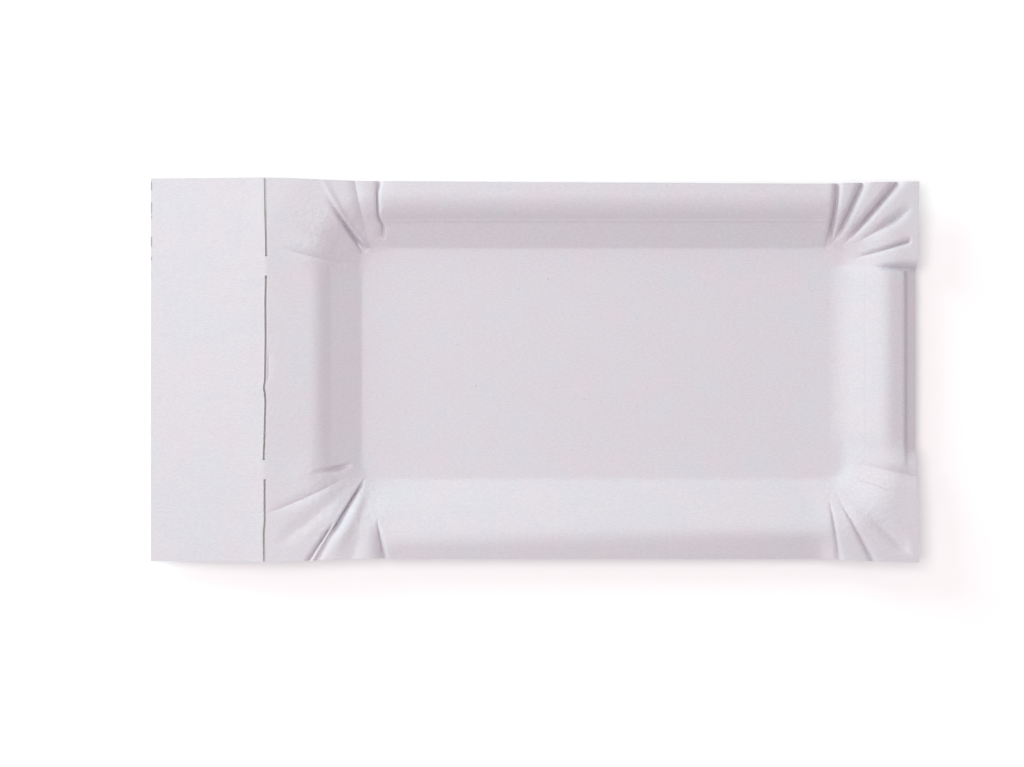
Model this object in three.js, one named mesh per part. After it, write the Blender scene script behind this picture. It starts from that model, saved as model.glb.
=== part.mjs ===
// Food tray of pressed white board, in one sheet: a flat floor, sloped walls with a rolled rim,
// fluted corners, and at the left a flat tab that tears off along three slits.
// Millimetres, +Z up. The origin is under the middle of the tray, where it rests.
import * as THREE from 'three';

// The blank
const overallLength = 200; // free edge of the tab to the tips of the right corners
const overallWidth = 100; // corner tip to corner tip
const boardThickness = 0.55;
const tabLength = 30.1; // free edge of the tab to the tear line
const tabDroop = 3.6; // how far the free edge hangs below the rim
const tipInsets = { rightFront: 0, rightBack: 1, leftBack: 0, leftFront: 0.2 };
const pullLength = 28; // from a corner tip to where the edge is fully drawn in

// The tear line, from the back edge to the front edge
const slitWidth = 0.6;
const backSlitLength = 20.5;
const frontSlitLength = 21.5;
const nickLength = 5; // uncut board that holds the tab

// The pressed form. A run is a distance outward from the foot of the wall, seen from above, a
// rise is above the floor, a drop is below the rim, and soft is half the width of a bend. pull
// is how far the pressing draws the edge in between the corners. firstEnd and lastEnd are how
// far along a wall the rolled rim takes to run out into the corner creases, and farEnd is what
// differs at the wall's last end. Ends and creases are named on the way round, anticlockwise.
const rimHeight = 6.9; // top of the rolled rim above the floor
const footRadius = 4.5; // floor corners, seen from above
const backWall = {
  run: 17,
  pull: 0.7,
  foot: { run: 0, soft: 0.3 },
  knee: { run: 7.1, rise: 3.9, soft: 0.25 },
  crest: { run: 11, drop: 0, soft: 3.2 },
  edgeDrop: 0.4,
  firstEnd: 4.2,
  lastEnd: 1.3,
  farEnd: { knee: { run: 7.1, rise: 3.6, soft: 0.25 } },
};
const frontWall = {
  run: 20.5,
  pull: 0.8,
  foot: { run: 0, soft: 0.6 },
  knee: { run: 7.1, rise: 3.6, soft: 1.2 },
  crest: { run: 15.4, drop: 0, soft: 2.2 },
  edgeDrop: 0.9,
  firstEnd: 3.6,
  lastEnd: 5.5,
  farEnd: {
    knee: { run: 7.1, rise: 3.8, soft: 1.2 },
    crest: { run: 13, drop: 0, soft: 1.8 },
    edgeDrop: 2.6,
  },
};
const leftWall = {
  run: 24.5,
  pull: 0,
  foot: { run: 0, soft: 0.4 },
  knee: { run: 7.9, rise: 3.7, soft: 0.4 },
  crest: { run: 11.4, drop: 1.1, soft: 1.7 },
  edgeDrop: 0,
  firstEnd: 8,
  lastEnd: 8,
};
const rightWall = {
  run: 18.4,
  pull: 0.8,
  foot: { run: -0.8, soft: 3.2 }, // the floor curves up into this wall
  knee: { run: 5.6, rise: 4.1, soft: 0.4 },
  crest: { run: 10.4, drop: 0, soft: 2 },
  roll: { run: 15.4, drop: 1, soft: 0.3 }, // the rim rolls down, steeply at last,
  lip: { run: 16.2, drop: 2.8, soft: 0.2 }, // to a narrow lip
  edgeDrop: 3.8,
  firstEnd: 8,
  firstRoundness: 0.4,
  lastEnd: 1.3,
};
// The ridges between the creases of a fluted corner. They rise above the rim towards the tip.
const rightEar = {
  run: 36,
  foot: { run: 0, soft: 1.1 },
  knee: { run: 7, rise: 4.1, soft: 1.6 },
  crest: { run: 11.6, drop: 0, soft: 3.2 },
  edgeDrop: -0.2,
};
const leftEar = {
  run: 36,
  foot: { run: 0, soft: 1.1 },
  knee: { run: 7.4, rise: 3.6, soft: 1.6 },
  crest: { run: 11.6, drop: 0.8, soft: 3.2 },
  roll: { run: 23.2, drop: 0, soft: 1 },
  edgeDrop: -0.1,
};

// Creases of the four fluted corners. rim is where a crease meets the edge, as a
// distance past the corner tip, and less than zero before it. foot is where it starts on the
// arc of the floor corner, from 0 to 1. On its way outward, also from 0 to 1, it begins, grows
// to its depth, and fades to the share that stays. Its flanks are as wide as said at the edge,
// the far one on the side away from the start, and bow is how far it bends sideways.
const usualCrease = {
  begins: 0.07,
  grows: 0.5,
  fades: 2,
  fadeSpan: 0.3,
  stay: 1,
  flank: 2.5,
  bow: 0,
};
const rightFrontCreases = [
  { foot: 0, rim: -20.9, depth: 0.7, begins: 0.1, grows: 0.9, flank: 1.8 },
  { foot: 0.06, rim: -12.1, depth: 1, begins: 0.1, grows: 0.8, flank: 2 },
  { foot: 0.24, rim: -0.3, depth: 0.6, begins: 0.15, fades: 0.93, fadeSpan: 0.12, stay: 0,
    flank: 3.6 },
  { foot: 0.38, rim: 14.2, depth: 0.2, fades: 0.8, stay: 0, flank: 1, bow: 1.4 },
  { foot: 1, rim: 22.3, depth: 1.3, begins: 0.1, grows: 0.9, flank: 3.2, bow: 0.2 },
];
const rightBackCreases = [
  { foot: 0, rim: -23, depth: 2.3, begins: 0.35, flank: 2.4 },
  { foot: 0.12, rim: -15, depth: 1.3, begins: 0, grows: 0.8, fades: 0.91, fadeSpan: 0.04, stay: 0,
    flank: 1.4 },
  { foot: 0.47, rim: -5.9, depth: 1.4, begins: 0.15, grows: 0.6, fades: 0.93, fadeSpan: 0.25,
    stay: 0, flank: 2.6 },
  { foot: 0.56, rim: 5.5, depth: 2.1, grows: 0.4, flank: 2.7 },
  { foot: 0.82, rim: 14.7, depth: 1.9, grows: 0.4, flank: 2.2 },
  { foot: 1, rim: 21.2, depth: 1.8, begins: -0.02, grows: 0.2, flank: 1.5, farFlank: 1.8, bow: -0.4 },
];
const leftBackCreases = [
  { foot: 0, rim: -29.2, depth: 0.7, begins: 0.12, grows: 0.12, flank: 1.5 },
  { foot: 0.3, rim: -22.8, depth: 0.6, flank: 2.4, bow: 0.3 },
  { foot: 0.55, rim: -13.1, depth: 1.6, begins: 0, grows: 0.1, fades: 0.82, fadeSpan: 0.4, stay: 0,
    flank: 1.6, bow: 0.4 },
  { foot: 0.72, rim: 9.5, depth: 0.3, fades: 0.8, stay: 0, flank: 5 },
  { foot: 1, rim: 16.8, depth: 0.5, begins: 0, fades: 0.85, stay: 0, flank: 2.5, farFlank: 1,
    bow: 0.8 },
];
const leftFrontCreases = [
  { foot: 0, rim: -20.5, depth: 1.4, begins: 0.1, grows: 0.15, fades: 0.55, fadeSpan: 0.35, stay: 0,
    flank: 1.7 },
  { foot: 0.2, rim: -12.6, depth: 0.5, fades: 1, stay: 0.3, flank: 2.4, bow: 0.7 },
  { foot: 0.38, rim: -2.6, depth: 0.3, fades: 1, stay: 0.4, flank: 4.5, bow: 0.9 },
  { foot: 0.49, rim: 11.8, depth: 1.8, begins: 0.03, grows: 0.2, stay: 0.8, fades: 1, flank: 1.6,
    farFlank: 3.6, bow: -0.2 },
  { foot: 0.76, rim: 22, depth: 0.4, begins: 0.45, flank: 2.5, bow: 0.4 },
  { foot: 1, rim: 30.6, depth: 1.9, begins: 0.45, flank: 5, farFlank: 1.2, bow: -1.1 },
];
const flankAtFoot = 0.4; // share of its width at the edge that a flank has at the foot
const flankRoundness = 1.8; // 1 is a plain V, more rounds the ridges between the creases
const leastFlank = 0.001;
const bowReach = 8; // how far along a wall the bow of a crease is felt
const rimEndRoundness = 1.5; // 1 runs a rim out in a straight slope, less rises at once

// How finely the sheet is drawn
const stripsPerFlute = 6;
const stripsPerWall = 4;
const stripsPerRimEnd = 3;
const rimEndCrowding = 1.5; // 1 spaces the strips of a rim end evenly, more crowds them
const creaseCrowding = 0.6; // 0 spaces the strips evenly, and 1 crowds them at the creases
const ringsToKnee = [0.5, 1]; // shares of the way to a bend at which there is a ring
const ringsToCrest = [0.35, 0.7, 1];
const ringsToRoll = [0.3, 0.65, 1];
const plainRoll = 0.8; // rings of a wall without a roll, from its crest out to the edge
const plainLip = 0.9;
const innerReach = 0.9; // share of the radius of the floor corners that the inmost ring reaches
const stripsAcrossTab = 4;
const closestStations = 0.5;

const tearLine = -overallLength / 2 + tabLength;
const rimLeft = tearLine + slitWidth / 2;
const tabRight = tearLine - slitWidth / 2;
const rimRight = overallLength / 2;
const rimBack = overallWidth / 2;
const rimFront = -overallWidth / 2;

function blend(from, to, share) {
  return from + (to - from) * share;
}

function smoothStep(share) {
  const held = THREE.MathUtils.clamp(share, 0, 1);
  return held * held * (3 - 2 * held);
}

// The outline runs anticlockwise from the right front corner, and a place on it is a distance
// along it. Each corner has its tip there, and the direction in which its arc starts.
const trayLength = rimRight - rimLeft;
const outlineLength = 2 * (overallWidth + trayLength);
const corners = [
  {
    tip: 0,
    at: new THREE.Vector2(rimRight, rimFront + tipInsets.rightFront),
    creases: rightFrontCreases,
    ear: rightEar,
    start: -Math.PI / 2,
  },
  {
    tip: overallWidth,
    at: new THREE.Vector2(rimRight, rimBack - tipInsets.rightBack),
    creases: rightBackCreases,
    ear: rightEar,
    start: 0,
  },
  {
    tip: overallWidth + trayLength,
    at: new THREE.Vector2(rimLeft, rimBack - tipInsets.leftBack),
    creases: leftBackCreases,
    ear: leftEar,
    start: Math.PI / 2,
  },
  {
    tip: 2 * overallWidth + trayLength,
    at: new THREE.Vector2(rimLeft, rimFront + tipInsets.leftFront),
    creases: leftFrontCreases,
    ear: leftEar,
    start: Math.PI,
  },
];

// The walls, in the same order, each from the corner of its own number to the next one
const sides = [
  { wall: rightWall, inward: new THREE.Vector2(-1, 0), length: overallWidth },
  { wall: backWall, inward: new THREE.Vector2(0, -1), length: trayLength },
  { wall: leftWall, inward: new THREE.Vector2(1, 0), length: overallWidth },
  { wall: frontWall, inward: new THREE.Vector2(0, 1), length: trayLength },
];

function outlinePoint(place) {
  const along = THREE.MathUtils.euclideanModulo(place, outlineLength);
  const index = corners.findLastIndex((corner) => along >= corner.tip);
  const { wall, inward, length } = sides[index];
  const past = along - corners[index].tip;
  const nextTip = corners[(index + 1) % corners.length].at;
  const straight = corners[index].at.clone().lerp(nextTip, past / length);
  const drawn = smoothStep(Math.min(past, length - past) / pullLength);
  return straight.addScaledVector(inward, wall.pull * drawn);
}

function sideMiddle(index) {
  return outlinePoint(corners[index].tip + sides[index].length / 2);
}

const footRight = sideMiddle(0).x - rightWall.run;
const footBack = sideMiddle(1).y - backWall.run;
const footLeft = sideMiddle(2).x + leftWall.run;
const footFront = sideMiddle(3).y + frontWall.run;
const arcCentres = [
  new THREE.Vector2(footRight - footRadius, footFront + footRadius),
  new THREE.Vector2(footRight - footRadius, footBack - footRadius),
  new THREE.Vector2(footLeft + footRadius, footBack - footRadius),
  new THREE.Vector2(footLeft + footRadius, footFront + footRadius),
];

// A point on the arc of a floor corner, and the direction straight out from it
function footPoint(index, share) {
  const angle = corners[index].start + share * (Math.PI / 2);
  const out = new THREE.Vector2(Math.cos(angle), Math.sin(angle));
  return { point: arcCentres[index].clone().addScaledVector(out, footRadius), out };
}

// Height of a pressed section, whose bends are parabolas of a named half width
function softRamp(distance, soft) {
  if (distance <= -soft) {
    return 0;
  }
  if (distance >= soft) {
    return distance;
  }
  return (distance + soft) ** 2 / (4 * soft);
}

function sectionKnots(form) {
  const bends = [form.crest, form.roll, form.lip].filter((bend) => bend);
  return [
    { ...form.foot, rise: 0 },
    form.knee,
    ...bends.map(({ run, drop, soft }) => ({ run, rise: rimHeight - drop, soft })),
    { run: form.run, rise: rimHeight - form.edgeDrop },
  ];
}

function sectionHeight(knots, distance) {
  let height = 0;
  let slope = 0;
  for (let index = 0; index < knots.length - 1; index += 1) {
    const here = knots[index];
    const next = knots[index + 1];
    const steeper = (next.rise - here.rise) / (next.run - here.run);
    height += (steeper - slope) * softRamp(distance - here.run, here.soft);
    slope = steeper;
  }
  return height;
}

function distanceFromFoot(point) {
  const x = Math.abs(point.x - (footLeft + footRight) / 2) - (footRight - footLeft) / 2;
  const y = Math.abs(point.y - (footFront + footBack) / 2) - (footBack - footFront) / 2;
  const pastX = x + footRadius;
  const pastY = y + footRadius;
  const outside = Math.hypot(Math.max(pastX, 0), Math.max(pastY, 0));
  return outside + Math.min(Math.max(pastX, pastY), 0) - footRadius;
}

// How deep a crease is pressed at a gap away from it. Its flank is no wider than its room.
function creaseDepth(crease, outward, gap, room, flank) {
  const { depth, begins, grows, fades, fadeSpan, stay } = crease;
  const grown = smoothStep((outward - begins) / grows);
  const left = blend(1, stay, smoothStep((outward - fades + fadeSpan) / fadeSpan));
  const width = Math.max(Math.min(flank * blend(flankAtFoot, 1, outward), room), leastFlank);
  return depth * grown * left * Math.max(0, 1 - gap / width) ** flankRoundness;
}

// Rings of the mesh: their distances outward from the foot on each wall, as shares of its run
function ringShares(wall) {
  const { run, foot, knee, crest } = wall;
  const soft = Math.max(foot.soft, rightEar.foot.soft);
  const roll = wall.roll ? wall.roll.run : blend(crest.run, run, plainRoll);
  const lip = wall.lip ? wall.lip.run : blend(crest.run, run, plainLip);
  const distances = [
    Math.max(foot.run - soft, -innerReach * footRadius),
    foot.run,
    foot.run + soft,
    ...ringsToKnee.map((share) => blend(foot.run + soft, knee.run, share)),
    ...ringsToCrest.map((share) => blend(knee.run, crest.run, share)),
    ...ringsToRoll.map((share) => blend(crest.run, roll, share)),
    lip,
    run,
  ];
  return distances.map((distance) => distance / run);
}

for (const side of sides) {
  side.knots = sectionKnots(side.wall);
  side.farKnots = sectionKnots({ ...side.wall, ...side.wall.farEnd });
  side.rings = ringShares(side.wall);
}
for (const corner of corners) {
  corner.knots = sectionKnots(corner.ear);
  corner.creases = corner.creases.map((crease) => {
    const whole = { ...usualCrease, ...crease };
    return { farFlank: whole.flank, ...whole };
  });
}

// Places that a station must meet: the corner tips and the ends of the nicks
const nickPlaces = [
  [backSlitLength, backSlitLength + nickLength],
  [overallWidth - frontSlitLength - nickLength, overallWidth - frontSlitLength],
].map((ends) => ends.map((end) => corners[2].tip + end));
const fixedPlaces = [...corners.map((corner) => corner.tip), ...nickPlaces.flat()];

// Panels run from one crease to the next, round the tray: the flutes, and the four walls
function makePanels() {
  const panels = [];
  corners.forEach((corner, index) => {
    const { creases, tip } = corner;
    const nextIndex = (index + 1) % corners.length;
    const nextTip = index + 1 < corners.length ? corners[nextIndex].tip : outlineLength;
    const lastCrease = creases[creases.length - 1];
    const nextCrease = corners[nextIndex].creases[0];
    for (let step = 1; step < creases.length; step += 1) {
      const [first, second] = [creases[step - 1], creases[step]];
      panels.push({ index, first, second, from: tip + first.rim, to: tip + second.rim });
    }
    panels.push({
      index,
      nextIndex,
      first: lastCrease,
      second: nextCrease,
      side: sides[index],
      from: tip + lastCrease.rim,
      to: nextTip + nextCrease.rim,
    });
  });
  return panels;
}

function evenShares(from, to, strips) {
  return Array.from({ length: strips }, (_, step) => blend(from, to, step / strips));
}

// Where the stations of a panel stand, as shares of the way along it
function stationShares(panel) {
  const { first, second, side } = panel;
  const length = panel.to - panel.from;
  const even = evenShares(0, 1, stripsPerFlute);
  let shares = even.map((share) => {
    return share - (creaseCrowding * Math.sin(2 * Math.PI * share)) / (2 * Math.PI);
  });
  if (side) {
    const firstEnd = Math.max(side.wall.firstEnd, first.farFlank) / length;
    const lastEnd = Math.max(side.wall.lastEnd, second.flank) / length;
    const crowded = evenShares(0, 1, stripsPerRimEnd).map((share) => share ** rimEndCrowding);
    shares = [
      ...crowded.map((share) => share * firstEnd),
      ...evenShares(firstEnd, 1 - lastEnd, stripsPerWall + 1),
      ...crowded.slice(1).map((share) => 1 - share * lastEnd),
      1 - lastEnd,
    ];
  }
  const inside = fixedPlaces.filter((place) => place > panel.from && place < panel.to);
  const fixed = inside.map((place) => (place - panel.from) / length);
  const clearance = closestStations / length;
  const isClear = (share) => fixed.every((other) => Math.abs(other - share) > clearance);
  const kept = shares.filter((share) => share === 0 || isClear(share));
  return [...kept, ...fixed].sort((one, other) => one - other);
}

// A station is a line from the floor out to the edge: where it starts, the direction of its
// inner end, where it meets the edge, and its share of the way round the corner
function makeStation(panel, share) {
  const { index, nextIndex, first, second, side } = panel;
  const place = blend(panel.from, panel.to, share);
  const station = { panel, share, place, rim: outlinePoint(place) };
  const length = panel.to - panel.from;
  const firstBow = side ? Math.max(0, 1 - (share * length) / bowReach) : 1 - share;
  const secondBow = side ? Math.max(0, 1 - ((1 - share) * length) / bowReach) : share;
  station.bow = firstBow * first.bow + secondBow * second.bow;
  if (side) {
    const before = footPoint(index, first.foot);
    const after = footPoint(nextIndex, second.foot);
    station.foot = before.point.lerp(after.point, share);
    station.out = before.out;
    station.rings = side.rings;
    station.run = side.wall.run;
    return station;
  }
  const turn = blend(first.foot, second.foot, share);
  const start = footPoint(index, turn);
  const before = sides[(index + sides.length - 1) % sides.length];
  const after = sides[index];
  station.foot = start.point;
  station.out = start.out;
  station.rings = before.rings.map((ring, step) => blend(ring, after.rings[step], turn));
  station.run = blend(before.wall.run, after.wall.run, turn);
  return station;
}

function stationPoint(station, outward) {
  if (outward < 0) {
    return station.foot.clone().addScaledVector(station.out, outward * station.run);
  }
  const point = station.foot.clone().lerp(station.rim, outward);
  const along = station.rim.clone().sub(station.foot).normalize();
  const sideways = new THREE.Vector2(-along.y, along.x);
  return point.addScaledVector(sideways, station.bow * 4 * outward * (1 - outward));
}

function pressedHeight(station, outward, point) {
  const { panel, share } = station;
  const { index, nextIndex, first, second, side } = panel;
  const distance = distanceFromFoot(point);
  const ear = sectionHeight(corners[index].knots, distance);
  const length = panel.to - panel.from;
  const across = side ? length : length * Math.max(outward, 0);
  const firstGap = share * across;
  const secondGap = (1 - share) * across;
  const room = across / 2;
  if (!side) {
    const firstFall = creaseDepth(first, outward, firstGap, room, first.farFlank);
    const secondFall = creaseDepth(second, outward, secondGap, room, second.flank);
    return Math.max(0, ear - firstFall - secondFall);
  }
  const nextEar = sectionHeight(corners[nextIndex].knots, distance);
  const here = sectionHeight(side.knots, distance);
  const wall = blend(here, sectionHeight(side.farKnots, distance), share);
  const { firstEnd, lastEnd, firstRoundness = rimEndRoundness } = side.wall;
  const firstHold = Math.max(0, 1 - firstGap / firstEnd) ** firstRoundness;
  const secondHold = Math.max(0, 1 - secondGap / lastEnd) ** rimEndRoundness;
  const held = wall + firstHold * (ear - wall) + secondHold * (nextEar - wall);
  const firstFall = creaseDepth(first, outward, firstGap, room, first.farFlank);
  const secondFall = creaseDepth(second, outward, secondGap, room, second.flank);
  return Math.max(0, held - firstFall - secondFall);
}

// The middle surface of the sheet, as points and triangles that run anticlockwise from above
function pressedSheet() {
  const points = [];
  const triangles = [];
  const addPoint = (x, y, z) => points.push(new THREE.Vector3(x, y, z)) - 1;
  const addStrip = (near, far) => {
    for (let step = 1; step < near.length; step += 1) {
      triangles.push([near[step - 1], far[step - 1], far[step]]);
      triangles.push([near[step - 1], far[step], near[step]]);
    }
  };

  const stations = makePanels().flatMap((panel) =>
    stationShares(panel).map((share) => makeStation(panel, share)),
  );
  for (const station of stations) {
    station.points = station.rings.map((outward) => {
      const point = stationPoint(station, outward);
      return addPoint(point.x, point.y, pressedHeight(station, outward, point));
    });
  }

  const closed = [...stations, stations[0]];
  for (let ring = 1; ring < stations[0].points.length; ring += 1) {
    const inner = closed.map((station) => station.points[ring - 1]);
    const outer = closed.map((station) => station.points[ring]);
    addStrip(inner, outer);
  }

  const floorLoop = stations.map((station) => points[station.points[0]]);
  for (const [one, two, three] of THREE.ShapeUtils.triangulateShape(floorLoop, [])) {
    triangles.push([stations[one].points[0], stations[two].points[0], stations[three].points[0]]);
  }

  const [, , backTip, frontTip] = corners.map((corner) => corner.tip);
  const tabStations = stations.filter(({ place }) => place >= backTip && place <= frontTip);
  for (const station of tabStations) {
    station.tabPoints = [...evenShares(0, 1, stripsAcrossTab), 1].map((share) => {
      const x = blend(tabRight, -overallLength / 2, share);
      return addPoint(x, station.rim.y, rimHeight - tabDroop * share);
    });
  }
  for (let column = 1; column <= stripsAcrossTab; column += 1) {
    const inner = tabStations.map((station) => station.tabPoints[column - 1]);
    const outer = tabStations.map((station) => station.tabPoints[column]);
    addStrip(inner, outer);
  }
  for (const [from, to] of nickPlaces) {
    const across = tabStations.filter(({ place }) => place >= from && place <= to);
    const rim = across.map((station) => station.points.at(-1));
    const tab = across.map((station) => station.tabPoints[0]);
    addStrip(rim, tab);
  }
  return { points, triangles };
}

function vertexNormals({ points, triangles }) {
  const normals = points.map(() => new THREE.Vector3());
  for (const triangle of triangles) {
    const [one, two, three] = triangle.map((index) => points[index]);
    const across = two.clone().sub(one).cross(three.clone().sub(one));
    triangle.forEach((index) => normals[index].add(across));
  }
  return normals.map((normal) => normal.normalize());
}

// The board: the sheet moved up and down by half its thickness, closed along every free edge
function boardGeometry(sheet) {
  const { points, triangles } = sheet;
  const normals = vertexNormals(sheet);
  const half = boardThickness / 2;
  const positions = [];
  for (const shift of [half, -half]) {
    points.forEach((point, index) => {
      const moved = point.clone().addScaledVector(normals[index], shift);
      positions.push(moved.x, moved.y, moved.z + half);
    });
  }

  const lower = points.length;
  const faces = [];
  const edges = new Set();
  for (const [one, two, three] of triangles) {
    faces.push(one, two, three, one + lower, three + lower, two + lower);
    edges.add(`${one} ${two}`).add(`${two} ${three}`).add(`${three} ${one}`);
  }
  for (const edge of edges) {
    const [from, to] = edge.split(' ').map(Number);
    if (!edges.has(`${to} ${from}`)) {
      faces.push(to, from, from + lower, to, from + lower, to + lower);
    }
  }

  const geometry = new THREE.BufferGeometry();
  geometry.setAttribute('position', new THREE.Float32BufferAttribute(positions, 3));
  geometry.setIndex(faces);
  geometry.computeVertexNormals();
  return geometry;
}

function whiteBoard() {
  return new THREE.MeshStandardMaterial({ color: 0xdad6dc, roughness: 0.85, metalness: 0 });
}

function trayMesh() {
  const mesh = new THREE.Mesh(boardGeometry(pressedSheet()), whiteBoard());
  mesh.name = 'tray';
  return mesh;
}

const foodTray = new THREE.Group();
foodTray.add(trayMesh());

export default foodTray;
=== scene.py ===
import math

import bpy
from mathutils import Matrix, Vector, noise


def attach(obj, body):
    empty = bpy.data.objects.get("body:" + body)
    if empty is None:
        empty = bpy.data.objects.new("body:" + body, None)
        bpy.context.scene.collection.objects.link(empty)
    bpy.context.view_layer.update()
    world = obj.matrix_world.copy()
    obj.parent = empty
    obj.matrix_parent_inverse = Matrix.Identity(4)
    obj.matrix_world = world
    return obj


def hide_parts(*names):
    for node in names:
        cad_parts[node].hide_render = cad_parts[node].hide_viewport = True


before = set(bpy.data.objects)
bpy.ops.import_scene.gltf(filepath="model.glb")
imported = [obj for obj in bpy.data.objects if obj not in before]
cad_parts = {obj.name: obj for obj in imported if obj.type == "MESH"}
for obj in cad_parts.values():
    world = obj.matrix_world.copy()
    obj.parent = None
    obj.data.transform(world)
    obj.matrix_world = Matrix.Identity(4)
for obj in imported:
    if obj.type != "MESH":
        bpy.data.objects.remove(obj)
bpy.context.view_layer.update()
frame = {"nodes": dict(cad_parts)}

print("frame loaded:", ", ".join(frame["nodes"]))

millimetre = 0.001

# The tray is pressed from one sheet of board. Every size is in millimetres, and nearly all are
# those of the solid that it replaces. A wall's run is a distance outward from its foot, seen from
# above, and its rise is above the floor.
tray = {
    "length": 200.0,  # free edge of the tab to the tips of the right corners
    "width": 100.0,
    "board": 0.55,
    "tabLength": 30.1,
    "tabDroop": 3.6,
    "slitWidth": 0.6,
    "backSlit": 20.5,
    "frontSlit": 21.5,
    "nick": 5.0,
    "rimHeight": 6.9,
    "highest": 7.05,  # the corner tips turn up above the rim
    "footRadius": 4.5,
    "pullLength": 28.0,  # from a corner tip to where the edge is fully drawn in
    # how far each corner tip lies inside the width
    "tips": {"rightFront": 0.0, "rightBack": 1.0, "leftBack": 0.0, "leftFront": 0.2},
    # Each wall, and anticlockwise its far end: pull is how far its edge is drawn in at the middle,
    # drop how far the edge hangs below the rim, and kneeLine the height of the line along its
    # knee. Each bend has its run, its rise, and half the width of its rounding.
    "back": {"run": 17.0, "pull": 0.7, "drop": 0.4, "farDrop": 0.4,
             "bends": [(0, 0, 0.3), (7.1, 3.9, 0.25), (11.0, 6.9, 3.2)],
             "farBends": [(0, 0, 0.3), (7.1, 3.6, 0.25), (10.9, 6.9, 3.6)], "kneeLine": 0.16},
    "front": {"run": 20.5, "pull": 0.8, "drop": 0.9, "farDrop": 2.6,
              "bends": [(0, 0, 0.6), (7.1, 3.6, 1.2), (15.4, 6.9, 2.2)],
              "farBends": [(0, 0, 0.6), (7.1, 3.8, 1.2), (13.0, 6.9, 1.8)], "kneeLine": -0.03},
    "left": {"run": 24.5, "pull": 0.0, "drop": 0.0, "farDrop": 0.0,
             "bends": [(0, 0, 0.4), (7.9, 3.6, 0.4), (11.4, 5.8, 1.7)],
             "farBends": [(0, 0, 0.4), (7.9, 3.7, 0.4), (11.4, 5.8, 1.7)], "kneeLine": 0.0},
    "right": {"run": 18.4, "pull": 0.8, "drop": 3.8, "farDrop": 3.8,
              "bends": [(-0.8, 0, 3.2), (5.6, 4.1, 0.4), (10.4, 6.9, 2.0), (15.4, 5.9, 0.3),
                        (16.2, 4.1, 0.2)],
              "farBends": [(-0.8, 0, 3.2), (5.6, 4.1, 0.4), (10.4, 6.9, 2.0), (15.4, 5.9, 0.3),
                           (16.2, 4.1, 0.2)], "kneeLine": -0.1},
    # the ridges between the creases of the fluted corners
    "rightEar": [(0, 0, 1.1), (7.0, 4.1, 1.6), (11.6, 6.9, 3.2), (23.2, 7.04, 1.0)],
    "leftEar": [(0, 0, 1.1), (7.4, 3.6, 1.6), (11.6, 6.1, 3.2), (23.2, 6.9, 1.0)],
    "kneeLineWidth": 0.3,  # of the pressed line along the knee of a wall
    "waviness": 0.05,  # board never lies quite flat
    "waveLength": 28.0,
    "waveLayer": 3.0,  # where in the noise it is cut
    "waveStart": -0.05,  # share of the way outward: the floor is pressed flat
    "waveGrowth": 0.5,  # and the share over which the waves grow past it
}


def crease(foot, rim, depth, **other):
    usual = {"begins": 0.07, "grows": 0.5, "fades": 2.0, "fadeSpan": 0.3, "stay": 1.0,
             "flank": 2.5, "soft": 0.0, "bow": 0.0, "groove": 0.25, "grooveWidth": 0.6,
             "mouth": 0.0, "fold": 0.0, "foldGap": 0.8, "foldWidth": 0.6, "wander": ()}
    usual["farFlank"] = other.get("flank", usual["flank"])
    return {**usual, "foot": foot, "rim": rim, "depth": depth, **other}


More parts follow.
